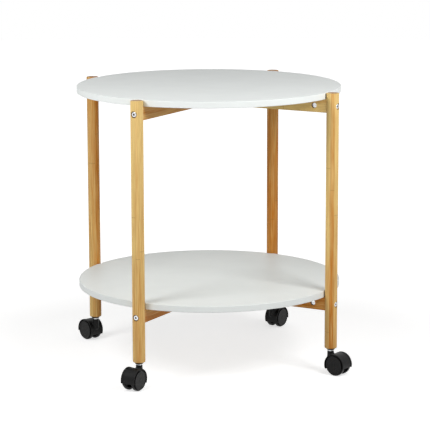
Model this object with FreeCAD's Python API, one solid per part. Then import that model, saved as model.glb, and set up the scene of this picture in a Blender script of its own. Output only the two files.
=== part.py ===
import FreeCAD, Part
import math
import os

# Rolling side table in millimetres, +Z up, with its origin on the floor under its centre.
# Two round shelves hang in a frame of four round legs, which stand on the X and Y axes:
# front at -Y, right at +X, back at +Y and left at -X. Two crossed rails carry each shelf
# and are bolted to the legs. A twin-wheel swivel caster is plugged into each leg's foot.

Vec = FreeCAD.Vector
ORIGIN = Vec(0, 0, 0)
X_AXIS = Vec(1, 0, 0)
Y_AXIS = Vec(0, 1, 0)
UP = Vec(0, 0, 1)
FULL_TURN = 360.0
HALF_TURN = 180.0
QUARTER_TURN = 90.0

# Overall sizes
table_height = 530.0
shelf_height = 158.0  # lower shelf's surface above the floor
cutter_overrun = 5.0  # how far a cutter runs past the face that it opens
tolerance = 0.001  # points closer than this count as one
edge_samples = 9  # points that an edge is judged by

# Round shelves
disc_radius = 250.0
disc_thickness = 12.0
disc_edge_radius = 1.2
notch_clearance = 2.2  # room between a leg and the notch around it
notch_corner_radius = 3.0

# Legs
leg_radius = 11.6
leg_outset = 11.0  # leg axis outside the rim of the shelves
leg_top_drop = 0.2  # leg end under the tabletop surface
leg_top_chamfer = 0.8
leg_foot_chamfer = 1.4

# Rails, which cross in a halving joint and are hollowed at their ends to fit the legs
rail_height = 25.0
rail_thickness = 15.0
rail_edge_radius = 1.0
halving_gap = 0.1
cope_gap = 0.1

# Frame bolts and their barrel nuts
bolt_radius = 3.0
bolt_bore_gap = 0.3
bolt_head_radius = 4.8
bolt_head_height = 3.0
bolt_head_edge_radius = 0.9
bolt_head_recess = 1.6  # top of the head under the leg's outermost line
counterbore_gap = 1.2
hex_socket_width = 4.0
hex_socket_depth = 2.0
bolt_end_reach = 7.0  # bolt end past the axis of the nut
nut_radius = 5.0
nut_length = 10.0
nut_chamfer = 0.5
nut_setback = 22.8  # nut axis behind the leg's inner side
nut_face_recess = 2.5
nut_bore_gap = 0.05
nut_slot_width = 1.2
nut_slot_depth = 1.0
thread_gap = 0.05

# Wood screws that hold a shelf down on its rails
screw_reach = 125.0  # screw axis from the centre of the table
screw_recess = 6.0  # head above the underside of the rail
screw_head_radius = 3.8
screw_head_height = 2.6
screw_shank_radius = 2.0
screw_length = 26.0
screw_tip_length = 3.0
screw_tip_radius = 0.3
screw_gap = 0.05
screw_cross_length = 3.8
screw_cross_width = 0.9
screw_cross_depth = 1.4

# Caster wheels and their axle
wheel_radius = 19.9
wheel_inner_face = 7.0  # inner side of the tread from the caster's middle plane
wheel_outer_face = 15.2
wheel_step = 2.8  # how far the outer face stands out from the tread's end
wheel_shoulder_radius = 1.4
wheel_face_radius = 17.5
wheel_edge_radius = 0.5
wheel_dish_radius = 16.0
wheel_dish_bevel = 0.8
wheel_dish_depth = 0.7
wheel_rim_wall = 3.6
wheel_disc_wall = 1.1
wheel_hub_radius = 5.5
wheel_centre_radius = 2.4
wheel_centre_rise = 0.3
axle_radius = 2.5
axle_end_gap = 0.2
axle_chamfer = 0.4
axle_fit_gap = 0.02
wheel_running_gap = 0.05
wheel_snap_depth = 0.4
wheel_snap_width = 0.9
wheel_snap_setback = 1.6  # snap ridge behind the blind end of the wheel's bore
snap_play = 0.1

# Caster housing
caster_trail = 17.2  # wheel axle behind the swivel axis
hood_gap = 0.35
hood_wall = 0.95
hood_rim_rise = 0.5
hood_rim_band = 4.0
hood_rim_edge_radius = 0.35
hood_half_width = 14.6
hood_skirt = 6.5  # how far the hood reaches below the axle
hood_skirt_tilt = 6.0  # degrees that its lower edge drops towards the neck
web_half_thickness = 2.4
boss_radius = 6.0
boss_side_gap = 0.4
neck_rise = 1.9  # top of the neck above the hood
neck_radius = 6.1
neck_foot_radius = 6.5
neck_taper = 9.0
neck_length = 23.0
neck_foot_taper = 4.0  # the neck's lower end narrows into the hood's front wall
neck_edge_radius = 0.6
neck_blend_radius = 2.0

# Swivel stem, its socket in the leg and its grip ring
swivel_gap = 0.1
collar_height = 2.1
collar_radius = 4.6
pivot_radius = 3.2
pivot_length = 16.0
pivot_running_gap = 0.05
pivot_end_gap = 0.5
pivot_groove_depth = 0.5
pivot_groove_width = 2.0
pivot_groove_setback = 4.0  # groove above the lower end of the pivot
pivot_chamfer = 0.5
stem_radius = 4.0
stem_length = 25.0
stem_chamfer = 1.0
stem_fit_gap = 0.05
ring_groove_radius = 3.2
ring_groove_width = 2.2
ring_setback = 5.0  # groove below the upper end of the stem
ring_play = 0.1
ring_radius = 4.5
ring_slit = 1.4
socket_flange_height = 3.2
socket_flange_radius = 7.6
socket_flange_edge_radius = 1.6
socket_radius = 5.5
socket_depth = 28.0
socket_wall_gap = 0.05
socket_recess_play = 0.2
socket_chamfer = 0.6

# Directions in degrees from +X, in plan: where each leg stands, and where its caster trails
leg_sides = {"front": -90.0, "right": 0.0, "back": 90.0, "left": 180.0}
trail_directions = {"front": -93.0, "right": -9.0, "back": 84.0, "left": 160.5}

# Derived sizes
leg_centre = disc_radius + leg_outset
notch_radius = leg_radius + notch_clearance
axle_height = wheel_radius
hood_inner_radius = wheel_radius + hood_gap
hood_outer_radius = hood_inner_radius + hood_wall
hood_rim_radius = hood_outer_radius + hood_rim_rise
neck_top = axle_height + hood_rim_radius + neck_rise
collar_bottom = neck_top + swivel_gap
collar_top = collar_bottom + collar_height
leg_bottom = collar_top + socket_flange_height
leg_top = table_height - leg_top_drop
top_underside = table_height - disc_thickness
shelf_underside = shelf_height - disc_thickness
bolt_drop = rail_height / 2  # bolt axis under the shelf's underside
nut_centre = leg_centre - leg_radius - nut_setback
counterbore_radius = bolt_head_radius + counterbore_gap
counterbore_depth = bolt_head_height + bolt_head_recess
counterbore_floor = leg_centre + leg_radius - counterbore_depth
bolt_bore_radius = bolt_radius + bolt_bore_gap
wheel_bore_end = wheel_outer_face - wheel_dish_depth - wheel_disc_wall
wheel_snap_end = wheel_bore_end - wheel_snap_setback
pivot_bottom = collar_bottom - pivot_length
pivot_groove_bottom = pivot_bottom + pivot_groove_setback
ring_groove_top = collar_top + stem_length - ring_setback


def side_point(first, second):
    return Vec(first, 0, second)


def outline_wire(corners, point):
    """Closed wire through corners of (first, second, rounding radius)."""
    edges = []
    starts = []
    count = len(corners)
    for index, (first, second, radius) in enumerate(corners):
        corner = point(first, second)
        before = point(*corners[index - 1][:2]) - corner
        after = point(*corners[(index + 1) % count][:2]) - corner
        if radius <= 0:
            starts.append((corner, corner))
            continue
        half = before.getAngle(after) / 2
        trim = min(radius / math.tan(half), before.Length / 2, after.Length / 2)
        reach = trim * math.tan(half)
        towards = before.normalize() + after.normalize()
        centre = corner + towards.normalize() * (trim / math.cos(half))
        middle = centre + (corner - centre).normalize() * reach
        start = corner + before * trim
        end = corner + after * trim
        edges.append(Part.Arc(start, middle, end).toShape())
        starts.append((start, end))
    for index in range(count):
        here = starts[index - 1][1]
        there = starts[index][0]
        if here.distanceToPoint(there) > tolerance:
            edges.append(Part.makeLine(here, there))
    return Part.Wire(Part.__sortEdges__(edges))


def turned(corners):
    """Solid turned about Z from corners of (radius, height, rounding radius)."""
    face = Part.Face(outline_wire(corners, side_point))
    return face.revolve(ORIGIN, UP, FULL_TURN)


def at_direction(shape, direction):
    """Copy of a shape turned in plan from +X to a direction in degrees."""
    copy = shape.copy()
    copy.rotate(ORIGIN, UP, direction)
    return copy


def cylinder_along_x(radius, start, end, height):
    return Part.makeCylinder(radius, end - start, Vec(start, 0, height), X_AXIS)


def plan_direction(degrees):
    angle = math.radians(degrees)
    return Vec(math.cos(angle), math.sin(angle), 0)


def disc(top):
    """Round shelf with a rounded notch for each leg and a soft edge all round."""
    blend_centre = disc_radius - notch_corner_radius
    reach = notch_radius + notch_corner_radius
    cosine = (blend_centre**2 + leg_centre**2 - reach**2) / (2 * blend_centre * leg_centre)
    spread = math.degrees(math.acos(cosine))
    edges = []
    for direction in sorted(leg_sides.values()):
        notch_centre = plan_direction(direction) * leg_centre
        notch_bottom = plan_direction(direction) * (leg_centre - notch_radius)
        ends = []
        for side in (-1, 1):
            outward = plan_direction(direction + side * spread)
            centre = outward * blend_centre
            rim = outward * disc_radius
            to_notch = (notch_centre - centre).normalize()
            throat = centre + to_notch * notch_corner_radius
            middle = centre + (outward + to_notch).normalize() * notch_corner_radius
            edges.append(Part.Arc(rim, middle, throat).toShape())
            ends.append(throat)
        edges.append(Part.Arc(ends[0], notch_bottom, ends[1]).toShape())
        far_end = plan_direction(direction + QUARTER_TURN - spread) * disc_radius
        halfway = plan_direction(direction + QUARTER_TURN / 2) * disc_radius
        edges.append(Part.Arc(rim, halfway, far_end).toShape())
    face = Part.Face(Part.Wire(Part.__sortEdges__(edges)))
    face.translate(UP * (top - disc_thickness))
    plate = face.extrude(UP * disc_thickness)
    rims = [edge for edge in plate.Edges if edge.BoundBox.ZLength < disc_edge_radius]
    plate = plate.makeFillet(disc_edge_radius, rims)
    underside = top - disc_thickness
    for direction in leg_sides.values():
        pilot = wood_screw(underside - rail_height, screw_gap)
        plate = plate.cut(at_direction(pilot, direction))
    return plate


def leg(direction):
    """Round leg along Z, with its socket hole and two counterbored bolt holes."""
    post = turned([
        (0, leg_bottom, 0),
        (leg_radius - leg_foot_chamfer, leg_bottom, leg_foot_chamfer),
        (leg_radius, leg_bottom + leg_foot_chamfer, leg_foot_chamfer),
        (leg_radius, leg_top - leg_top_chamfer, 0),
        (leg_radius - leg_top_chamfer, leg_top, 0),
        (0, leg_top, 0),
    ])
    post.translate(X_AXIS * leg_centre)
    hole_radius = socket_radius + socket_wall_gap
    hole_depth = socket_depth + socket_wall_gap
    foot = Vec(leg_centre, 0, leg_bottom - cutter_overrun)
    post = post.cut(Part.makeCylinder(hole_radius, hole_depth + cutter_overrun, foot, UP))
    for underside in (top_underside, shelf_underside):
        height = underside - bolt_drop
        outside = leg_centre + leg_radius + cutter_overrun
        inside = leg_centre - leg_radius - cutter_overrun
        post = post.cut(cylinder_along_x(bolt_bore_radius, inside, outside, height))
        post = post.cut(cylinder_along_x(counterbore_radius, counterbore_floor, outside, height))
    return at_direction(post, direction)


def rail(underside, along, slot_from_top):
    """Rail under a shelf, from one leg to the opposite one, along a direction in degrees."""
    half_thickness = rail_thickness / 2
    bottom = underside - rail_height
    section = outline_wire([
        (-half_thickness, bottom, rail_edge_radius),
        (half_thickness, bottom, rail_edge_radius),
        (half_thickness, underside, rail_edge_radius),
        (-half_thickness, underside, rail_edge_radius),
    ], lambda across, height: Vec(-leg_centre, across, height))
    bar = Part.Face(section).extrude(X_AXIS * 2 * leg_centre)

    # Halving joint at the centre of the table
    half_slot = half_thickness + halving_gap
    slot_height = (rail_height + halving_gap) / 2 + cutter_overrun
    slot_bottom = bottom - cutter_overrun
    if slot_from_top:
        slot_bottom = underside + cutter_overrun - slot_height
    slot_corner = Vec(-half_slot, -rail_thickness, slot_bottom)
    bar = bar.cut(Part.makeBox(2 * half_slot, 2 * rail_thickness, slot_height, slot_corner))

    # Both ends: hollow for the leg, bore for the bolt, blind hole for the barrel nut
    height = underside - bolt_drop
    bolt_end = nut_centre - bolt_end_reach - bolt_bore_gap
    nut_hole_depth = nut_face_recess + nut_length + nut_bore_gap
    for end in (0, HALF_TURN):
        leg_foot = Vec(leg_centre, 0, bottom - cutter_overrun)
        clear_height = rail_height + 2 * cutter_overrun
        cope = Part.makeCylinder(leg_radius + cope_gap, clear_height, leg_foot, UP)
        bore = cylinder_along_x(bolt_bore_radius, bolt_end, leg_centre, height)
        bar = bar.cut(at_direction(cope, end))
        bar = bar.cut(at_direction(bore, end))
        reach = math.cos(math.radians(end)) * nut_centre
        mouth = Vec(reach, -half_thickness - cutter_overrun, height)
        hole_radius = nut_radius + nut_bore_gap
        hole_depth = nut_hole_depth + cutter_overrun
        bar = bar.cut(Part.makeCylinder(hole_radius, hole_depth, mouth, Y_AXIS))
        screw_hole = wood_screw(bottom, screw_gap)
        way_in = Vec(screw_reach, 0, bottom - cutter_overrun)
        way_depth = screw_recess + cutter_overrun
        way_radius = screw_head_radius + screw_gap
        counterbore = Part.makeCylinder(way_radius, way_depth, way_in, UP)
        bar = bar.cut(at_direction(screw_hole.fuse(counterbore), end))
    return at_direction(bar, along)


def wood_screw(rail_bottom, gap):
    """Countersunk screw at screw_reach on +X, point up; a gap makes it its own hole."""
    drive = rail_bottom + screw_recess
    neck = drive + screw_head_height
    point = drive + screw_length
    screw = turned([
        (0, drive, 0),
        (screw_head_radius + gap, drive, 0),
        (screw_shank_radius + gap, neck, 0),
        (screw_shank_radius + gap, point - screw_tip_length, 0),
        (screw_tip_radius + gap, point + gap, 0),
        (0, point + gap, 0),
    ])
    screw.translate(X_AXIS * screw_reach)
    return screw


def cross_recess(rail_bottom):
    """Cross for the driver in the head of a wood screw."""
    drive = rail_bottom + screw_recess
    long_half = screw_cross_length / 2
    thin_half = screw_cross_width / 2
    arms = []
    for across, along in ((long_half, thin_half), (thin_half, long_half)):
        corner = Vec(screw_reach - across, -along, drive - cutter_overrun)
        depth = screw_cross_depth + cutter_overrun
        arms.append(Part.makeBox(2 * across, 2 * along, depth, corner))
    return arms[0].fuse(arms[1])


def shelf_screws(underside):
    rail_bottom = underside - rail_height
    screw = wood_screw(rail_bottom, 0).cut(cross_recess(rail_bottom))
    return Part.makeCompound([at_direction(screw, side) for side in leg_sides.values()])


def frame_bolts(underside):
    """One bolt per leg, with a rounded head and a hexagon socket."""
    height = underside - bolt_drop
    crown = counterbore_floor + bolt_head_height
    end = nut_centre - bolt_end_reach
    bolt = turned([
        (0, end, 0),
        (bolt_radius - nut_chamfer, end, 0),
        (bolt_radius, end + nut_chamfer, 0),
        (bolt_radius, counterbore_floor, 0),
        (bolt_head_radius, counterbore_floor, 0),
        (bolt_head_radius, crown, bolt_head_edge_radius),
        (0, crown, 0),
    ])
    corner_radius = hex_socket_width / math.sqrt(3)
    corners = [plan_direction(sixth * FULL_TURN / 6) * corner_radius for sixth in range(6)]
    hexagon = Part.Face(Part.makePolygon(corners + corners[:1]))
    hexagon.translate(UP * (crown - hex_socket_depth))
    bolt = bolt.cut(hexagon.extrude(UP * (hex_socket_depth + cutter_overrun)))
    bolt.rotate(ORIGIN, Y_AXIS, QUARTER_TURN)
    bolt.translate(UP * height)
    return Part.makeCompound([at_direction(bolt, side) for side in leg_sides.values()])


def barrel_nuts(underside):
    """One cross nut per rail end, in the rail's blind hole."""
    height = underside - bolt_drop
    face = rail_thickness / 2 - nut_face_recess
    nut = turned([
        (0, 0, 0),
        (nut_radius - nut_chamfer, 0, 0),
        (nut_radius, nut_chamfer, 0),
        (nut_radius, nut_length - nut_chamfer, 0),
        (nut_radius - nut_chamfer, nut_length, 0),
        (0, nut_length, 0),
    ])
    slot_corner = Vec(-nut_radius, -nut_slot_width / 2, -cutter_overrun)
    slot_depth = nut_slot_depth + cutter_overrun
    nut = nut.cut(Part.makeBox(2 * nut_radius, nut_slot_width, slot_depth, slot_corner))
    nut.rotate(ORIGIN, X_AXIS, -QUARTER_TURN)
    nut.translate(Vec(0, -face, height))
    thread = cylinder_along_x(bolt_radius + thread_gap, -2 * nut_radius, 2 * nut_radius, height)
    nut = nut.cut(thread)
    nuts = []
    for along in (0, -QUARTER_TURN):
        for reach in (nut_centre, -nut_centre):
            copy = nut.copy()
            copy.translate(X_AXIS * reach)
            nuts.append(at_direction(copy, along))
    return Part.makeCompound(nuts)


def leg_socket(direction):
    """Nylon socket in the leg's foot, with a rounded flange under the leg."""
    top = leg_bottom + socket_depth
    recess_radius = ring_radius + socket_recess_play
    recess_top = ring_groove_top + socket_recess_play
    recess_bottom = ring_groove_top - ring_groove_width - socket_recess_play
    bore = stem_radius + stem_fit_gap
    shape = turned([
        (bore, collar_top, 0),
        (socket_flange_radius, collar_top, socket_flange_edge_radius),
        (socket_flange_radius, leg_bottom, 0),
        (socket_radius, leg_bottom, 0),
        (socket_radius, top - socket_chamfer, 0),
        (socket_radius - socket_chamfer, top, 0),
        (bore, top, 0),
        (bore, recess_top, 0),
        (recess_radius, recess_top, 0),
        (recess_radius, recess_bottom, 0),
        (bore, recess_bottom, 0),
    ])
    shape.translate(X_AXIS * leg_centre)
    return at_direction(shape, direction)


def caster_stem(direction):
    """Steel stem: plug for the leg's socket, bright collar and pivot for the housing."""
    top = collar_top + stem_length
    groove_bottom = ring_groove_top - ring_groove_width
    pivot_groove_top = pivot_groove_bottom + pivot_groove_width
    pivot_groove_radius = pivot_radius - pivot_groove_depth
    shape = turned([
        (0, pivot_bottom, 0),
        (pivot_radius - pivot_chamfer, pivot_bottom, 0),
        (pivot_radius, pivot_bottom + pivot_chamfer, 0),
        (pivot_radius, pivot_groove_bottom, 0),
        (pivot_groove_radius, pivot_groove_bottom, 0),
        (pivot_groove_radius, pivot_groove_top, 0),
        (pivot_radius, pivot_groove_top, 0),
        (pivot_radius, collar_bottom, 0),
        (collar_radius, collar_bottom, 0),
        (collar_radius, collar_top, 0),
        (stem_radius, collar_top, 0),
        (stem_radius, groove_bottom, 0),
        (ring_groove_radius, groove_bottom, 0),
        (ring_groove_radius, ring_groove_top, 0),
        (stem_radius, ring_groove_top, 0),
        (stem_radius, top - stem_chamfer, 0),
        (stem_radius - stem_chamfer, top, 0),
        (0, top, 0),
    ])
    shape.translate(X_AXIS * leg_centre)
    return at_direction(shape, direction)


def grip_rings():
    """Slit spring ring in the upper groove of each stem."""
    bottom = ring_groove_top - ring_groove_width + ring_play
    top = ring_groove_top - ring_play
    inner = ring_groove_radius + ring_play
    ring = turned([(inner, bottom, 0), (ring_radius, bottom, 0), (ring_radius, top, 0), (inner, top, 0)])
    slit_corner = Vec(0, -ring_slit / 2, bottom - cutter_overrun)
    slit_height = top - bottom + 2 * cutter_overrun
    ring = ring.cut(Part.makeBox(2 * ring_radius, ring_slit, slit_height, slit_corner))
    ring.translate(X_AXIS * leg_centre)
    return Part.makeCompound([at_direction(ring, side) for side in leg_sides.values()])


def onto_axle(shape, side):
    """Move a shape turned about Z onto the axle, with its +Z end towards one side."""
    shape.rotate(ORIGIN, X_AXIS, -side * QUARTER_TURN)
    shape.translate(Vec(caster_trail, 0, axle_height))
    return shape


def in_place(shape, leg_name):
    """Move a shape from the caster's own frame, trailing along +X, to its leg."""
    copy = at_direction(shape, trail_directions[leg_name])
    copy.translate(plan_direction(leg_sides[leg_name]) * leg_centre)
    return copy


def hood_ring():
    """Hood over both wheels, with a raised band along each rim."""
    band_start = hood_half_width - hood_rim_band
    edge = hood_rim_edge_radius
    ring = turned([
        (hood_inner_radius, -hood_half_width, 0),
        (hood_rim_radius, -hood_half_width, edge),
        (hood_rim_radius, -band_start, edge),
        (hood_outer_radius, -band_start, 0),
        (hood_outer_radius, band_start, 0),
        (hood_rim_radius, band_start, edge),
        (hood_rim_radius, hood_half_width, edge),
        (hood_inner_radius, hood_half_width, 0),
    ])
    return onto_axle(ring, 1)


def swivel_bore():
    """Cutter for the pivot's bore, which leaves the snap ridge that holds the pivot."""
    bottom = pivot_bottom - pivot_end_gap
    bore = pivot_radius + pivot_running_gap
    ridge = pivot_radius - pivot_groove_depth + snap_play
    ridge_bottom = pivot_groove_bottom + pivot_groove_width / 4
    ridge_top = ridge_bottom + pivot_groove_width / 2
    mouth = neck_top + cutter_overrun
    return turned([
        (0, bottom, 0),
        (bore, bottom, 0),
        (bore, ridge_bottom, 0),
        (ridge, ridge_bottom, 0),
        (ridge, ridge_top, 0),
        (bore, ridge_top, 0),
        (bore, mouth, 0),
        (0, mouth, 0),
    ])


def neck_meets_hood(edge):
    """Whether an edge of the housing runs where the neck leaves the hood."""
    for point in edge.discretize(edge_samples):
        from_axle = math.hypot(point.x - caster_trail, point.z - axle_height)
        if abs(from_axle - hood_outer_radius) > tolerance:
            return False
        if math.hypot(point.x, point.y) > neck_foot_radius + tolerance:
            return False
    return True


def caster_housing(leg_name):
    """Nylon housing: hood, web between the wheels, axle boss and swivel neck."""
    web_radius = hood_inner_radius + hood_wall / 2
    web = Part.makeCylinder(web_radius, 2 * web_half_thickness, UP * -web_half_thickness, UP)
    boss_half = wheel_inner_face - boss_side_gap
    boss = Part.makeCylinder(boss_radius, 2 * boss_half, UP * -boss_half, UP)
    skirt_height = axle_height - hood_skirt
    below = Part.makeBox(
        4 * hood_rim_radius,
        4 * hood_half_width,
        skirt_height + cutter_overrun,
        Vec(caster_trail - 2 * hood_rim_radius, -2 * hood_half_width, -cutter_overrun),
    )
    below.rotate(Vec(caster_trail, 0, skirt_height), Y_AXIS, -hood_skirt_tilt)
    neck_bottom = neck_top - neck_length
    neck = turned([
        (0, neck_bottom, 0),
        (neck_foot_radius - neck_foot_taper, neck_bottom, 0),
        (neck_foot_radius, neck_bottom + neck_foot_taper, 0),
        (neck_foot_radius, neck_top - neck_taper, 0),
        (neck_radius, neck_top, neck_edge_radius),
        (0, neck_top, 0),
    ])
    body = hood_ring().fuse(onto_axle(web, 1)).cut(below)
    body = body.fuse(neck).removeSplitter()
    body = body.makeFillet(neck_blend_radius, [e for e in body.Edges if neck_meets_hood(e)])
    body = body.fuse(onto_axle(boss, 1))
    axle_hole_radius = axle_radius + axle_fit_gap
    hole_half = boss_half + cutter_overrun
    axle_hole = Part.makeCylinder(axle_hole_radius, 2 * hole_half, UP * -hole_half, UP)
    body = body.cut(onto_axle(axle_hole, 1))
    body = body.cut(swivel_bore())
    return in_place(body, leg_name)


def wheel(leg_name, side):
    """Moulded wheel: tread, stepped and dished outer face, blind hub that snaps on the axle."""
    bore = axle_radius + wheel_running_gap
    ridge = axle_radius - wheel_snap_depth + snap_play
    ridge_start = wheel_snap_end - wheel_snap_width
    dish = wheel_outer_face - wheel_dish_depth
    tread_end = wheel_outer_face - wheel_step
    shape = turned([
        (bore, wheel_inner_face, 0),
        (wheel_hub_radius, wheel_inner_face, 0),
        (wheel_hub_radius, wheel_bore_end, 0),
        (wheel_radius - wheel_rim_wall, wheel_bore_end, 0),
        (wheel_radius - wheel_rim_wall, wheel_inner_face, 0),
        (wheel_radius, wheel_inner_face, wheel_edge_radius),
        (wheel_radius, tread_end, wheel_shoulder_radius),
        (wheel_face_radius, tread_end, 0),
        (wheel_face_radius, wheel_outer_face, wheel_edge_radius),
        (wheel_dish_radius, wheel_outer_face, 0),
        (wheel_dish_radius - wheel_dish_bevel, dish, 0),
        (wheel_centre_radius + wheel_centre_rise, dish, 0),
        (wheel_centre_radius, dish + wheel_centre_rise, 0),
        (0, dish + wheel_centre_rise, 0),
        (0, wheel_bore_end, 0),
        (bore, wheel_bore_end, 0),
        (bore, wheel_snap_end, 0),
        (ridge, wheel_snap_end, 0),
        (ridge, ridge_start, 0),
        (bore, ridge_start, 0),
    ])
    return in_place(onto_axle(shape, side), leg_name)


def axle(leg_name):
    """Steel axle through the boss, with a snap groove for each wheel."""
    end = wheel_bore_end - axle_end_gap
    groove_radius = axle_radius - wheel_snap_depth
    groove_end = wheel_snap_end + snap_play
    groove_start = wheel_snap_end - wheel_snap_width - snap_play
    half = [
        (axle_radius, groove_start, 0),
        (groove_radius, groove_start, 0),
        (groove_radius, groove_end, 0),
        (axle_radius, groove_end, 0),
        (axle_radius, end - axle_chamfer, 0),
        (axle_radius - axle_chamfer, end, 0),
        (0, end, 0),
    ]
    mirrored = [(radius, -along, rounding) for radius, along, rounding in reversed(half)]
    return in_place(onto_axle(turned(mirrored + half), 1), leg_name)


def model():
    """Every piece of the table by its node's name."""
    nodes = {
        "tabletop": disc(table_height),
        "lower_shelf": disc(shelf_height),
        "upper_rail_x": rail(top_underside, 0, True),
        "upper_rail_y": rail(top_underside, -QUARTER_TURN, False),
        "lower_rail_x": rail(shelf_underside, 0, True),
        "lower_rail_y": rail(shelf_underside, -QUARTER_TURN, False),
        "upper_frame_bolts": frame_bolts(top_underside),
        "lower_frame_bolts": frame_bolts(shelf_underside),
        "upper_barrel_nuts": barrel_nuts(top_underside),
        "lower_barrel_nuts": barrel_nuts(shelf_underside),
        "tabletop_screws": shelf_screws(top_underside),
        "shelf_screws": shelf_screws(shelf_underside),
        "stem_grip_rings": grip_rings(),
    }
    for name, direction in leg_sides.items():
        nodes[name + "_leg"] = leg(direction)
        nodes[name + "_leg_socket"] = leg_socket(direction)
        nodes[name + "_caster_stem"] = caster_stem(direction)
        nodes[name + "_caster_housing"] = caster_housing(name)
        nodes[name + "_caster_axle"] = axle(name)
        nodes[name + "_caster_left_wheel"] = wheel(name, 1)
        nodes[name + "_caster_right_wheel"] = wheel(name, -1)
    return nodes


os.makedirs("parts", exist_ok=True)
for node, shape in model().items():
    shape.exportStep("parts/" + node + ".step")
    print(node, len(shape.Solids), shape.isValid(), round(shape.Volume, 1))
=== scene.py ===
import math

import bpy
from mathutils import Matrix, Vector


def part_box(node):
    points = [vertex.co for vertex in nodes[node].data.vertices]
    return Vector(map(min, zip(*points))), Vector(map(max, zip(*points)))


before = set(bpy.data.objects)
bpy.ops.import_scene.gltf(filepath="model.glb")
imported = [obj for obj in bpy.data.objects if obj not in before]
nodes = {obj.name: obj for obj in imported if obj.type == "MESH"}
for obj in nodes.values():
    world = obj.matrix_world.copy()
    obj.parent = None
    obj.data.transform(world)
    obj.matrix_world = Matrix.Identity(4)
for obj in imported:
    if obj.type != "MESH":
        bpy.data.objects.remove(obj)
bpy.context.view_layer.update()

bl_info = {
    "name": "Rolling Side Table",
    "version": (1, 0, 0),
    "blender": (4, 5, 0),
    "location": "View3D > Sidebar > Side Table",
    "description": "Finishes a round two-tier bamboo side table on casters and sets it in a studio",
    "category": "Object",
}

MM = 0.001
AXES = "XYZ"
LEG_NAMES = ("front", "right", "back", "left")

# Sockets of a Mix node by number, because several of them share a name
COLOUR_A = 6
COLOUR_B = 7
COLOUR_RESULT = 2
FLOAT_A = 2
FLOAT_B = 3


def linear(code):
    """Linear colour of an sRGB hex code."""
    values = [int(code[start:start + 2], 16) / 255 for start in (1, 3, 5)]
    return tuple(v / 12.92 if v <= 0.04045 else ((v + 0.055) / 1.055) ** 2.4 for v in values)


class SideTableSizes(bpy.types.PropertyGroup):
    """Sizes of the finishes' patterns and of the studio."""

    lamella_width: bpy.props.FloatProperty(
        name="Lamella width",
        description="Width of the glued bamboo strips that show on legs and rails",
        default=7.8 * MM, min=2.0 * MM, max=20.0 * MM, unit="LENGTH", subtype="DISTANCE",
    )
    knuckle_spacing: bpy.props.FloatProperty(
        name="Knuckle spacing",
        description="Distance between the knuckle marks along one bamboo strip",
        default=310.0 * MM, min=50.0 * MM, max=600.0 * MM, unit="LENGTH", subtype="DISTANCE",
    )
    floor_radius: bpy.props.FloatProperty(
        name="Floor radius",
        description="Radius of the studio floor around the table",
        default=6.0, min=1.0, max=50.0, unit="LENGTH", subtype="DISTANCE",
    )
    camera_lens: bpy.props.FloatProperty(
        name="Lens",
        description="Focal length of the studio camera on a 36 mm wide sensor",
        default=169.8, min=20.0, max=400.0, unit="CAMERA",
    )


def colour_property(name, description, code):
    return bpy.props.FloatVectorProperty(
        name=name, description=description, default=linear(code), min=0.0, max=1.0,
        size=3, subtype="COLOR",
    )


class SideTableColours(bpy.types.PropertyGroup):
    """Colours of the finishes and of the studio."""

    lacquer: colour_property("Lacquer", "White lacquer on both shelves", "#EFF3F1")
    bamboo_light: colour_property("Bamboo, light", "Palest bamboo strips", "#EECD84")
    bamboo_deep: colour_property("Bamboo, deep", "Deepest bamboo strips", "#C1761E")
    bamboo_warm: colour_property("Bamboo, warm", "Pinkish bamboo strips", "#DFAE70")
    # The marks colour is also used as painted shade on the walls of the holes in legs and rails
    bamboo_marks_and_hole_shade: colour_property("Bamboo, marks", "Knuckle marks, glue lines and fibres", "#7C4C1C")
    nylon: colour_property("Nylon", "Black nylon of the casters", "#0A0A0A")
    socket: colour_property("Socket", "Dark nylon sockets in the feet of the legs", "#20160F")
    zinc: colour_property("Zinc", "Bright zinc plating on the steel pieces", "#DADCDE")
    # Painted shade: the dark colour put into the bolts' hexagon sockets
    painted_socket_shade: colour_property("Painted socket shade", "Shade painted dark into the bolts' hexagon sockets", "#85807A")
    floor: colour_property("Floor", "Matt floor of the studio, under its own glow", "#DADADA")
    backdrop: colour_property("Backdrop", "White all round the studio", "#FFFFFF")


def sizes():
    return bpy.context.scene.side_table_sizes


def colours():
    return bpy.context.scene.side_table_colours


def solid(colour):
    return tuple(colour) + (1.0,)


def add_node(tree, kind, settings=None, inputs=None):
    """Shader node of one kind. Each input is set to a value, or linked from a socket or from a
    node's first output."""
    node = tree.nodes.new("ShaderNode" + kind)
    for name, value in (settings or {}).items():
        setattr(node, name, value)
    for name, value in (inputs or {}).items():
        if isinstance(value, bpy.types.Node):
            value = value.outputs[0]
        if isinstance(value, bpy.types.NodeSocket):
            tree.links.new(value, node.inputs[name])
        else:
            node.inputs[name].default_value = value
    return node


def new_material(name, shader_inputs):
    """Material with a Principled shader, and its tree, shader and place on the object."""
    material = bpy.data.materials.new(name)
    material.use_nodes = True
    tree = material.node_tree
    tree.nodes.clear()
    shader = add_node(tree, "BsdfPrincipled", None, shader_inputs)
    add_node(tree, "OutputMaterial", None, {"Surface": shader})
    place = add_node(tree, "TexCoord").outputs["Object"]
    return material, tree, shader, place


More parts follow.
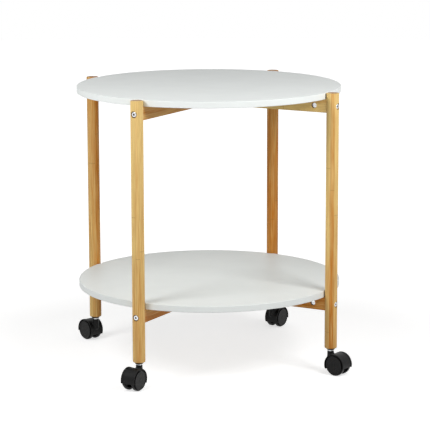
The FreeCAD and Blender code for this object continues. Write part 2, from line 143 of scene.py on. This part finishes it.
def white_lacquer():
    """Sprayed lacquer on fibreboard: a satin white with a faint orange peel in its gloss."""
    peel_width = 1.6 * MM
    peel_height = 0.02 * MM
    cloud_width = 60.0 * MM
    cloud_shade = 0.97
    material, tree, shader, place = new_material("satin white lacquer", {
        "Roughness": 0.45,
        "IOR": 1.5,
        "Specular IOR Level": 0.15,
    })
    cloud = add_node(tree, "TexNoise", None, {"Vector": place, "Scale": 1 / cloud_width, "Detail": 2.0})
    tone = add_node(tree, "MapRange", None, {
        "Value": cloud, "From Min": 0.3, "From Max": 0.7, "To Min": cloud_shade, "To Max": 1.0,
    })
    colour = add_node(tree, "Mix", {"data_type": "RGBA", "blend_type": "MULTIPLY"}, {
        "Factor": 1.0, COLOUR_A: solid(colours().lacquer), COLOUR_B: tone,
    })
    tree.links.new(colour.outputs[COLOUR_RESULT], shader.inputs["Base Color"])
    peel = add_node(tree, "TexNoise", None, {"Vector": place, "Scale": 1 / peel_width, "Detail": 1.0})
    bump = add_node(tree, "Bump", None, {"Strength": 0.12, "Distance": peel_height, "Height": peel})
    tree.links.new(bump.outputs[0], shader.inputs["Normal"])
    return material


def bored_out(tree, place, middle, axis, radius, reach):
    """Mask of round holes, 1 inside and 0 outside. They lie along one axis, reach as far to
    either side of their middles and repeat in all four quarters of the table."""
    distances = add_node(tree, "VectorMath", {"operation": "ABSOLUTE"}, {0: place})
    offset = add_node(tree, "VectorMath", {"operation": "SUBTRACT"}, {0: distances, 1: middle})
    across = [1.0, 1.0, 1.0]
    across[AXES.index(axis)] = 0.0
    flat = add_node(tree, "VectorMath", {"operation": "MULTIPLY"}, {0: offset, 1: across})
    from_axis = add_node(tree, "VectorMath", {"operation": "LENGTH"}, {0: flat}).outputs["Value"]
    near_axis = add_node(tree, "Math", {"operation": "LESS_THAN"}, {0: from_axis, 1: radius})
    along = add_node(tree, "SeparateXYZ", None, {"Vector": offset}).outputs[axis]
    near_middle = add_node(tree, "Math", {"operation": "COMPARE"}, {0: along, 1: 0.0, 2: reach})
    return add_node(tree, "Math", {"operation": "MULTIPLY"}, {0: near_axis, 1: near_middle})


def varnished_bamboo(piece, grain, turn, depth, deepening, number, holes):
    """Laminated bamboo under satin varnish: glued strips that differ in tone, streaks and fine
    fibres along the grain, faint dark knuckles, dark cut ends, and shade painted dark on the walls of
    its holes.
    grain is the axis along which the fibres run, turn how far the strips are turned about the
    upright, depth the piece's tone from 0, pale, to 1, deep, deepening how much deeper it is
    at its low end than at its high one, number picks the tones of its strips, and each of its
    holes is given as for bored_out."""
    # Real fibres are about 0.3 mm wide and glue lines 0.1 mm, too fine to show, so both are wider
    fibre_width = 0.8 * MM
    fibre_length = 45.0 * MM
    fibre_height = 0.06 * MM
    fibre_shade = 0.4
    glue_width = 0.35 * MM
    glue_shade = 0.3
    knuckle_width = 1.3 * MM
    knuckle_shade = 0.3
    end_shade = 0.7
    streak_width = 2.6 * MM
    streak_length = 75.0 * MM
    streak_contrast = 1.7
    strip_contrast = 0.7
    warm_share = 0.25
    # More than the strips of any piece, so that no two pieces share a strip's tone
    numbers_per_piece = 7.0
    # Spreads the strips' knuckles over several spacings
    knuckle_spread = 7.3
    lamella = sizes().lamella_width
    spacing = sizes().knuckle_spacing
    low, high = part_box(piece)
    material, tree, shader, place = new_material(piece + " varnished bamboo", {
        "Roughness": 0.45,
        "IOR": 1.5,
        "Specular IOR Level": 0.2,
    })
    along_axis = AXES.index(grain)
    across_axis = 0 if grain == "Z" else 2
    length = (high - low)[along_axis]
    strips_place = add_node(tree, "Mapping", {"vector_type": "TEXTURE"}, {
        "Vector": place, "Location": (low + high) / 2, "Rotation": (0.0, 0.0, turn),
    })
    parts = add_node(tree, "SeparateXYZ", None, {"Vector": strips_place})
    along = parts.outputs[along_axis]

    # Each strip has its own number, and from that its own tone, streaks and knuckles
    strips = add_node(tree, "Math", {"operation": "MULTIPLY_ADD"}, {
        0: parts.outputs[across_axis], 1: 1 / lamella, 2: 0.5,
    })
    strip_number = add_node(tree, "Math", {"operation": "FLOOR"}, {0: strips})
    seed_number = add_node(tree, "Math", {"operation": "ADD"}, {
        0: strip_number, 1: numbers_per_piece * number,
    })
    seed = add_node(tree, "TexWhiteNoise", {"noise_dimensions": "1D"}, {"W": seed_number})
    drawn_out = {}
    for label, width, pattern_length, detail in (
        ("fibres", fibre_width, fibre_length, 3.0),
        ("streaks", streak_width, streak_length, 2.0),
        ("warmth", 2 * streak_width, 2 * streak_length, 1.0),
    ):
        scale = [1 / width] * 3
        scale[along_axis] = 1 / pattern_length
        stretched = add_node(tree, "VectorMath", {"operation": "MULTIPLY"}, {0: strips_place, 1: scale})
        drawn_out[label] = add_node(tree, "TexNoise", {"noise_dimensions": "4D"}, {
            "Vector": stretched, "W": seed_number, "Scale": 1.0, "Detail": detail, "Roughness": 0.6,
        })

    # Tone from pale to deep, then a pinkish cast in places
    lengthwise = add_node(tree, "Math", {"operation": "MULTIPLY_ADD"}, {
        0: along, 1: -deepening / length, 2: depth - streak_contrast / 2,
    })
    wander = add_node(tree, "Math", {"operation": "MULTIPLY_ADD"}, {
        0: drawn_out["streaks"], 1: streak_contrast, 2: lengthwise,
    })
    tone = add_node(tree, "Math", {"operation": "MULTIPLY_ADD", "use_clamp": True}, {
        0: seed, 1: strip_contrast, 2: wander,
    })
    colour = add_node(tree, "Mix", {"data_type": "RGBA"}, {
        "Factor": tone,
        COLOUR_A: solid(colours().bamboo_light),
        COLOUR_B: solid(colours().bamboo_deep),
    })
    cast = add_node(tree, "MapRange", None, {
        "Value": drawn_out["warmth"], "From Min": 0.45, "From Max": 0.65,
        "To Min": 0.0, "To Max": warm_share,
    })
    colour = add_node(tree, "Mix", {"data_type": "RGBA"}, {
        "Factor": cast,
        COLOUR_A: colour.outputs[COLOUR_RESULT],
        COLOUR_B: solid(colours().bamboo_warm),
    })

    # Fibres, glue lines, knuckles and cut ends darken it, and shade is painted dark on the walls of its
    # holes
    fibre_marks = add_node(tree, "MapRange", None, {
        "Value": drawn_out["fibres"], "From Min": 0.45, "From Max": 0.75,
        "To Min": 0.0, "To Max": fibre_shade,
    })
    to_glue = add_node(tree, "Math", {"operation": "PINGPONG"}, {0: strips, 1: 0.5})
    glue = add_node(tree, "MapRange", None, {
        "Value": to_glue, "From Min": 0.0, "From Max": glue_width / lamella,
        "To Min": glue_shade, "To Max": 0.0,
    })
    spread = add_node(tree, "Math", {"operation": "MULTIPLY"}, {0: seed, 1: knuckle_spread})
    knuckle_count = add_node(tree, "Math", {"operation": "MULTIPLY_ADD"}, {
        0: along, 1: 1 / spacing, 2: spread,
    })
    to_knuckle = add_node(tree, "Math", {"operation": "PINGPONG"}, {0: knuckle_count, 1: 0.5})
    knuckle = add_node(tree, "MapRange", {"interpolation_type": "SMOOTHSTEP"}, {
        "Value": to_knuckle, "From Min": 0.0, "From Max": knuckle_width / spacing,
        "To Min": knuckle_shade, "To Max": 0.0,
    })
    facing = add_node(tree, "TexCoord").outputs["Normal"]
    facing_parts = add_node(tree, "SeparateXYZ", None, {"Vector": facing})
    facing_end = add_node(tree, "Math", {"operation": "ABSOLUTE"}, {0: facing_parts.outputs[along_axis]})
    # A face that looks along the grain, to within about 40 degrees, is a cut end
    cut_end = add_node(tree, "MapRange", None, {
        "Value": facing_end, "From Min": 0.74, "From Max": 0.78, "To Min": 0.0, "To Max": end_shade,
    })
    marks = [fibre_marks, glue, knuckle, cut_end]
    # Painted shade on the walls of the bolt and nut holes
    marks += [bored_out(tree, place, *shaded_hole) for shaded_hole in holes]
    for mark in marks:
        colour = add_node(tree, "Mix", {"data_type": "RGBA"}, {
            "Factor": mark,
            COLOUR_A: colour.outputs[COLOUR_RESULT],
            COLOUR_B: solid(colours().bamboo_marks_and_hole_shade),
        })
    tree.links.new(colour.outputs[COLOUR_RESULT], shader.inputs["Base Color"])

    relief = add_node(tree, "Math", {"operation": "SUBTRACT"}, {0: drawn_out["fibres"], 1: knuckle})
    bump = add_node(tree, "Bump", None, {"Strength": 0.3, "Distance": fibre_height, "Height": relief})
    tree.links.new(bump.outputs[0], shader.inputs["Normal"])
    return material


def moulded_nylon(name, colour, roughness):
    """Injection-moulded nylon: near black and satin, with the fine spark texture of its mould
    and faint scuffs that change its tone and gloss."""
    # Real spark texture is about 0.1 mm wide, too fine to show, so it is drawn wider
    grit_width = 0.35 * MM
    grit_height = 0.02 * MM
    scuff_width = 9.0 * MM
    scuff_gloss = 0.05
    material, tree, shader, place = new_material(name, {
        "IOR": 1.53,
        "Specular IOR Level": 0.16,
    })
    scuffs = add_node(tree, "TexNoise", None, {"Vector": place, "Scale": 1 / scuff_width, "Detail": 4.0})
    tone = add_node(tree, "MapRange", None, {
        "Value": scuffs, "From Min": 0.35, "From Max": 0.7, "To Min": 0.8, "To Max": 1.3,
    })
    shade = add_node(tree, "Mix", {"data_type": "RGBA", "blend_type": "MULTIPLY"}, {
        "Factor": 1.0, COLOUR_A: solid(colour), COLOUR_B: tone,
    })
    tree.links.new(shade.outputs[COLOUR_RESULT], shader.inputs["Base Color"])
    gloss = add_node(tree, "MapRange", None, {
        "Value": scuffs, "From Min": 0.35, "From Max": 0.7,
        "To Min": roughness - scuff_gloss, "To Max": roughness + scuff_gloss,
    })
    tree.links.new(gloss.outputs[0], shader.inputs["Roughness"])
    grit = add_node(tree, "TexNoise", None, {"Vector": place, "Scale": 1 / grit_width, "Detail": 1.0})
    bump = add_node(tree, "Bump", None, {"Strength": 0.2, "Distance": grit_height, "Height": grit})
    tree.links.new(bump.outputs[0], shader.inputs["Normal"])
    return material


def zinc_plate(name, sockets=()):
    """Bright zinc-plated steel, turned: mirror-like with soft haze and fine turning marks, and
    shade painted dark into its sockets, each given as for bored_out."""
    # Real turning marks are about 0.1 mm apart, too fine to show, so they are drawn wider
    mark_width = 0.25 * MM
    mark_height = 0.01 * MM
    haze_width = 3.0 * MM
    material, tree, shader, place = new_material(name, {
        "Base Color": solid(colours().zinc),
        "Metallic": 1.0,
    })
    haze = add_node(tree, "TexNoise", None, {"Vector": place, "Scale": 1 / haze_width, "Detail": 2.0})
    gloss = add_node(tree, "MapRange", None, {
        "Value": haze, "From Min": 0.3, "From Max": 0.7, "To Min": 0.22, "To Max": 0.34,
    })
    tree.links.new(gloss.outputs[0], shader.inputs["Roughness"])
    marks = add_node(tree, "TexNoise", None, {"Vector": place, "Scale": 1 / mark_width, "Detail": 1.0})
    bump = add_node(tree, "Bump", None, {"Strength": 0.1, "Distance": mark_height, "Height": marks})
    tree.links.new(bump.outputs[0], shader.inputs["Normal"])
    colour = solid(colours().zinc)
    for socket in sockets:
        # Shade painted dark into each socket
        socket_shade_mask = bored_out(tree, place, *socket)
        colour = add_node(tree, "Mix", {"data_type": "RGBA"}, {
            "Factor": socket_shade_mask, COLOUR_A: colour, COLOUR_B: solid(colours().painted_socket_shade),
        }).outputs[COLOUR_RESULT]
        tree.links.new(colour, shader.inputs["Base Color"])
    return material


def finish_nodes(names, material):
    for name in names:
        node = nodes[name]
        node.data.materials.clear()
        node.data.materials.append(material)


class SIDETABLE_OT_shelves(bpy.types.Operator):
    """Finish both shelves in white lacquer"""

    bl_idname = "side_table.shelves"
    bl_label = "Shelves"

    def execute(self, context):
        finish_nodes(("tabletop", "lower_shelf"), white_lacquer())
        return {"FINISHED"}


class SIDETABLE_OT_legs(bpy.types.Operator):
    """Finish the four legs in varnished bamboo"""

    bl_idname = "side_table.legs"
    bl_label = "Legs"

    def execute(self, context):
        turn = math.radians(29.0)
        # The shade painted into the bolts' counterbores is a little wider than they are, and ends just
        # under the legs' surface
        shaded_hole_radius = 6.3 * MM
        shaded_hole_reach = 9.0 * MM
        # The axis of each leg's bolts, and its depth, deepening and number in varnished_bamboo
        looks = {
            "front": ("Y", 0.05, 0.6, 40),
            "right": ("X", 0.1, 0.55, 10),
            "back": ("Y", 0.42, 0.4, 44),
            "left": ("X", 0.28, -0.3, 48),
        }
        for leg, (outward, depth, deepening, number) in looks.items():
            low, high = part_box(leg + "_leg")
            holes = []
            for bolts in ("upper_frame_bolts", "lower_frame_bolts"):
                middle = (low + high) / 2
                middle.z = sum(corner.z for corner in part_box(bolts)) / 2
                holes.append((tuple(abs(v) for v in middle), outward, shaded_hole_radius, shaded_hole_reach))
            bamboo = varnished_bamboo(leg + "_leg", "Z", turn, depth, deepening, number, holes)
            finish_nodes((leg + "_leg",), bamboo)
        return {"FINISHED"}


class SIDETABLE_OT_rails(bpy.types.Operator):
    """Finish the crossed rails in varnished bamboo"""

    bl_idname = "side_table.rails"
    bl_label = "Rails"

    def execute(self, context):
        # The shade painted into the nut holes is a little wider than the nuts, and ends just under the
        # rails' faces
        nut_margin = 0.35 * MM
        skin = 0.4 * MM
        # Each rail's grain, the axis of its nuts, and its depth and number in varnished_bamboo
        looks = {
            "upper_rail_x": ("X", "Y", -0.3, 16),
            "upper_rail_y": ("Y", "X", 0.4, 33),
            "lower_rail_x": ("X", "Y", 0.45, 49),
            "lower_rail_y": ("Y", "X", 0.6, 59),
        }
        for rail, (grain, across, depth, number) in looks.items():
            level = rail.split("_")[0]
            nuts_low, nuts_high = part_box(level + "_barrel_nuts")
            nut_radius = (nuts_high.z - nuts_low.z) / 2
            middle = [0.0, 0.0, (nuts_low.z + nuts_high.z) / 2]
            middle[AXES.index(grain)] = nuts_high.x - nut_radius
            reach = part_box(rail)[1][AXES.index(across)] - skin
            # Shade painted dark on the walls of the rail's nut holes
            shaded_hole = (middle, across, nut_radius + nut_margin, reach)
            bamboo = varnished_bamboo(rail, grain, 0.0, depth, 0.0, number, [shaded_hole])
            finish_nodes((rail,), bamboo)
        return {"FINISHED"}


class SIDETABLE_OT_fasteners(bpy.types.Operator):
    """Finish bolts, nuts, screws and the metal of the casters in zinc plating"""

    bl_idname = "side_table.fasteners"
    bl_label = "Fasteners"

    def execute(self, context):
        socket_radius = 2.4 * MM
        socket_reach = 1.1 * MM
        # Keeps the painted shade off the outer faces of the bolts' heads
        skin = 0.1 * MM
        names = [
            "upper_barrel_nuts", "lower_barrel_nuts",
            "tabletop_screws", "shelf_screws",
            "stem_grip_rings",
        ]
        for leg in LEG_NAMES:
            names += [leg + "_caster_stem", leg + "_caster_axle"]
        finish_nodes(names, zinc_plate("bright zinc plating"))
        for bolts in ("upper_frame_bolts", "lower_frame_bolts"):
            low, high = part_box(bolts)
            outward = high.x - skin - socket_reach
            height = (low.z + high.z) / 2
            # Shade is painted dark into the hexagon sockets of the bolts' heads
            sockets = (
                ((outward, 0.0, height), "X", socket_radius, socket_reach),
                ((0.0, outward, height), "Y", socket_radius, socket_reach),
            )
            finish_nodes((bolts,), zinc_plate(bolts + " zinc plating", sockets))
        return {"FINISHED"}


class SIDETABLE_OT_casters(bpy.types.Operator):
    """Finish the casters and leg sockets in moulded nylon"""

    bl_idname = "side_table.casters"
    bl_label = "Casters"

    def execute(self, context):
        wheel = moulded_nylon("smooth black nylon", colours().nylon, 0.25)
        hood = moulded_nylon("satin black nylon", colours().nylon, 0.42)
        socket = moulded_nylon("dark brown nylon", colours().socket, 0.35)
        for leg in LEG_NAMES:
            finish_nodes((leg + "_caster_left_wheel", leg + "_caster_right_wheel"), wheel)
            finish_nodes((leg + "_caster_housing",), hood)
            finish_nodes((leg + "_leg_socket",), socket)
        return {"FINISHED"}


def seen_directly(tree):
    """Socket that is 1 for the rays that show the studio to the camera, in metal or through
    glass, and 0 for those by which it lights the table."""
    path = add_node(tree, "LightPath")
    seen = path.outputs["Is Camera Ray"]
    for ray in ("Is Glossy Ray", "Is Transmission Ray"):
        either = add_node(tree, "Math", {"operation": "MAXIMUM"}, {0: seen, 1: path.outputs[ray]})
        seen = either.outputs[0]
    return seen


def studio_floor():
    """Matt white floor that the camera sees as white wherever no shadow falls on it."""
    near_table = 0.45
    far_off = 1.0
    lift_near_table = 0.64
    material = bpy.data.materials.new("studio floor")
    material.use_nodes = True
    tree = material.node_tree
    tree.nodes.clear()
    matt = add_node(tree, "BsdfDiffuse", None, {"Color": solid(colours().floor)})
    place = add_node(tree, "TexCoord").outputs["Object"]
    from_table = add_node(tree, "VectorMath", {"operation": "LENGTH"}, {0: place}).outputs["Value"]
    lift = add_node(tree, "MapRange", {"interpolation_type": "SMOOTHSTEP"}, {
        "Value": from_table, "From Min": near_table, "From Max": far_off,
        "To Min": lift_near_table, "To Max": 1.0,
    })
    strength = add_node(tree, "Math", {"operation": "MULTIPLY"}, {0: seen_directly(tree), 1: lift})
    glow = add_node(tree, "Emission", None, {"Strength": strength})
    both = add_node(tree, "AddShader", None, {0: matt, 1: glow})
    add_node(tree, "OutputMaterial", None, {"Surface": both})
    return material


def studio_world(walls, ceiling):
    """White world, plain white to the camera and in reflections. Its soft ambient light is
    strongest from the walls, at the horizon, and weakest from the ceiling."""
    world = bpy.data.worlds.new("studio")
    world.use_nodes = True
    tree = world.node_tree
    tree.nodes.clear()
    place = add_node(tree, "TexCoord").outputs["Generated"]
    direction = add_node(tree, "SeparateXYZ", None, {"Vector": place})
    ambient = add_node(tree, "MapRange", None, {
        "Value": direction.outputs["Z"], "To Min": walls, "To Max": ceiling,
    })
    strength = add_node(tree, "Mix", {"data_type": "FLOAT"}, {
        "Factor": seen_directly(tree), FLOAT_A: ambient, FLOAT_B: 1.0,
    })
    sky = add_node(tree, "Background", None, {"Color": solid(colours().backdrop), "Strength": strength})
    add_node(tree, "OutputWorld", None, {"Surface": sky})
    bpy.context.scene.world = world


def softbox(name, azimuth, power):
    """Square area lamp that faces the table. Its azimuth is in degrees from the front, -Y,
    towards the right, +X, and its power in watts."""
    distance = 1.0
    height = 1.0
    size = 0.4
    table_middle = Vector((0.0, 0.0, 0.3))
    angle = math.radians(azimuth)
    place = Vector((distance * math.sin(angle), -distance * math.cos(angle), height))
    lamp = bpy.data.lights.new(name, "AREA")
    lamp.shape = "SQUARE"
    lamp.size = size
    lamp.energy = power
    holder = bpy.data.objects.new(name, lamp)
    bpy.context.scene.collection.objects.link(holder)
    holder.location = place
    holder.rotation_euler = (table_middle - place).to_track_quat("-Z", "Y").to_euler()


class SIDETABLE_OT_studio(bpy.types.Operator):
    """Set up the floor, the white world, the lamps and the camera"""

    bl_idname = "side_table.studio"
    bl_label = "Studio"

    def execute(self, context):
        scene = context.scene
        rim_points = 96
        radius = sizes().floor_radius
        angles = [math.tau * step / rim_points for step in range(rim_points)]
        rim = [(radius * math.cos(angle), radius * math.sin(angle), 0.0) for angle in angles]
        mesh = bpy.data.meshes.new("studio_floor")
        mesh.from_pydata(rim, [], [list(range(rim_points))])
        mesh.materials.append(studio_floor())
        floor = bpy.data.objects.new("studio_floor", mesh)
        scene.collection.objects.link(floor)

        studio_world(walls=0.7, ceiling=0.05)
        softbox("left softbox", azimuth=-16.0, power=5.7)
        softbox("right softbox", azimuth=74.0, power=6.5)

        # Camera where the photograph was taken from, looking down on the table with a long lens
        camera_place = (1.8782, -3.3210, 1.0077)
        azimuth = math.radians(29.32)
        tilt = math.radians(90.0 - 10.823)
        roll = math.radians(-0.132)
        data = bpy.data.cameras.new("studio camera")
        data.sensor_width = 36.0
        data.lens = sizes().camera_lens
        camera = bpy.data.objects.new("studio camera", data)
        scene.collection.objects.link(camera)
        turn = Matrix.Rotation(azimuth, 4, "Z") @ Matrix.Rotation(tilt, 4, "X")
        turn = turn @ Matrix.Rotation(roll, 4, "Z")
        camera.matrix_world = Matrix.Translation(camera_place) @ turn
        scene.camera = camera
        scene.view_settings.view_transform = "Standard"
        return {"FINISHED"}


OPERATORS = (
    SIDETABLE_OT_shelves,
    SIDETABLE_OT_legs,
    SIDETABLE_OT_rails,
    SIDETABLE_OT_fasteners,
    SIDETABLE_OT_casters,
    SIDETABLE_OT_studio,
)


class SIDETABLE_PT_panel(bpy.types.Panel):
    """Sizes, colours and build steps of the side table"""

    bl_idname = "SIDETABLE_PT_panel"
    bl_label = "Side Table"
    bl_space_type = "VIEW_3D"
    bl_region_type = "UI"
    bl_category = "Side Table"

    def draw(self, context):
        for group in (context.scene.side_table_sizes, context.scene.side_table_colours):
            for name in group.__annotations__:
                self.layout.prop(group, name)
        for operator in OPERATORS:
            self.layout.operator(operator.bl_idname)


CLASSES = (SideTableSizes, SideTableColours) + OPERATORS + (SIDETABLE_PT_panel,)


def register():
    for cls in CLASSES:
        bpy.utils.register_class(cls)
    bpy.types.Scene.side_table_sizes = bpy.props.PointerProperty(type=SideTableSizes)
    bpy.types.Scene.side_table_colours = bpy.props.PointerProperty(type=SideTableColours)


def unregister():
    del bpy.types.Scene.side_table_colours
    del bpy.types.Scene.side_table_sizes
    for cls in reversed(CLASSES):
        bpy.utils.unregister_class(cls)


def main():
    register()
    bpy.ops.side_table.shelves()
    bpy.ops.side_table.legs()
    bpy.ops.side_table.rails()
    bpy.ops.side_table.fasteners()
    bpy.ops.side_table.casters()
    bpy.ops.side_table.studio()


if __name__ == "__main__":
    main()
